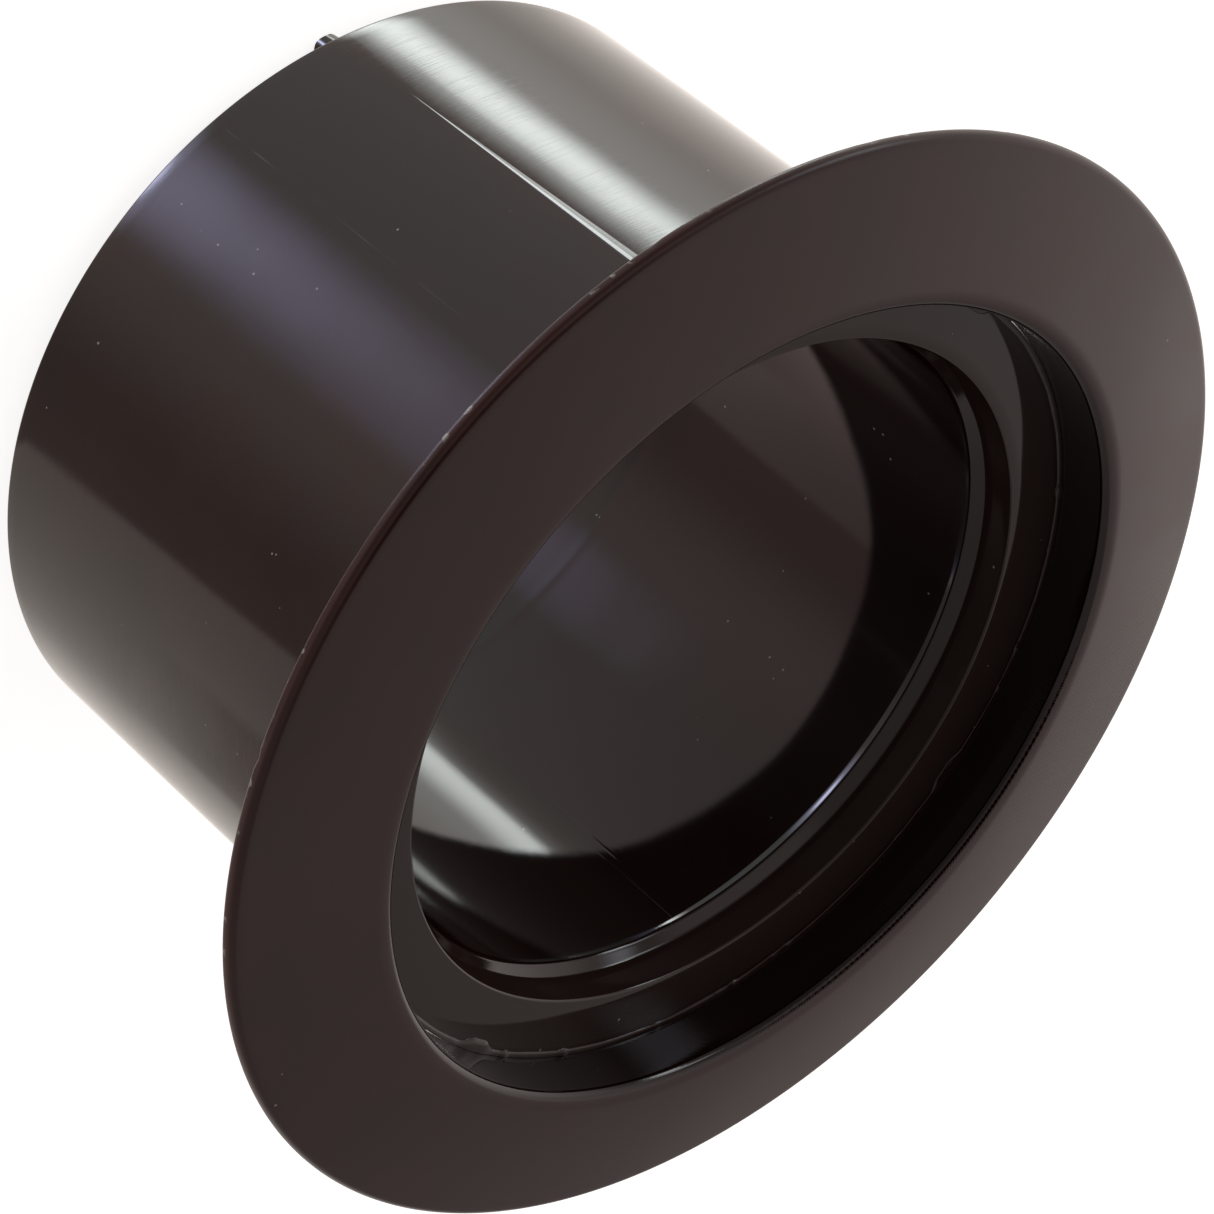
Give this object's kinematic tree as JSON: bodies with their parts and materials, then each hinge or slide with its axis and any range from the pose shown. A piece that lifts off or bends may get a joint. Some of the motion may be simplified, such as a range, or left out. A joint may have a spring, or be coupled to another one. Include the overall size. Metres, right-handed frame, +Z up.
{
  "type": "toilet flange",
  "caption": "Flanged waste sleeve in black plastic: a round collar whose face climbs to a recessed, stepped mouth, cemented round the top of a plain spigot that drops through a floor cut-out.",
  "frame": {"origin": "on the sleeve's axis, in the plane of the flange's underside, which is the plane of the floor the collar hangs on", "axes": "+Z up along the sleeve's axis, out of the mouth; the spigot points down -Z; the stop rib lies at 236.8 degrees round from +X"},
  "size_m": [0.123, 0.123, 0.0678],
  "materials": {
    "satin_black_plastic": "satin, warm black",
    "gloss_black_plastic": "gloss, warm black",
    "black_cement": "gloss, set solvent cement"
  },
  "bodies": {
    "root": {"flange_collar": "satin_black_plastic", "spigot_sleeve": "gloss_black_plastic", "cement_bead": "black_cement"}
  },
  "joints": []
}
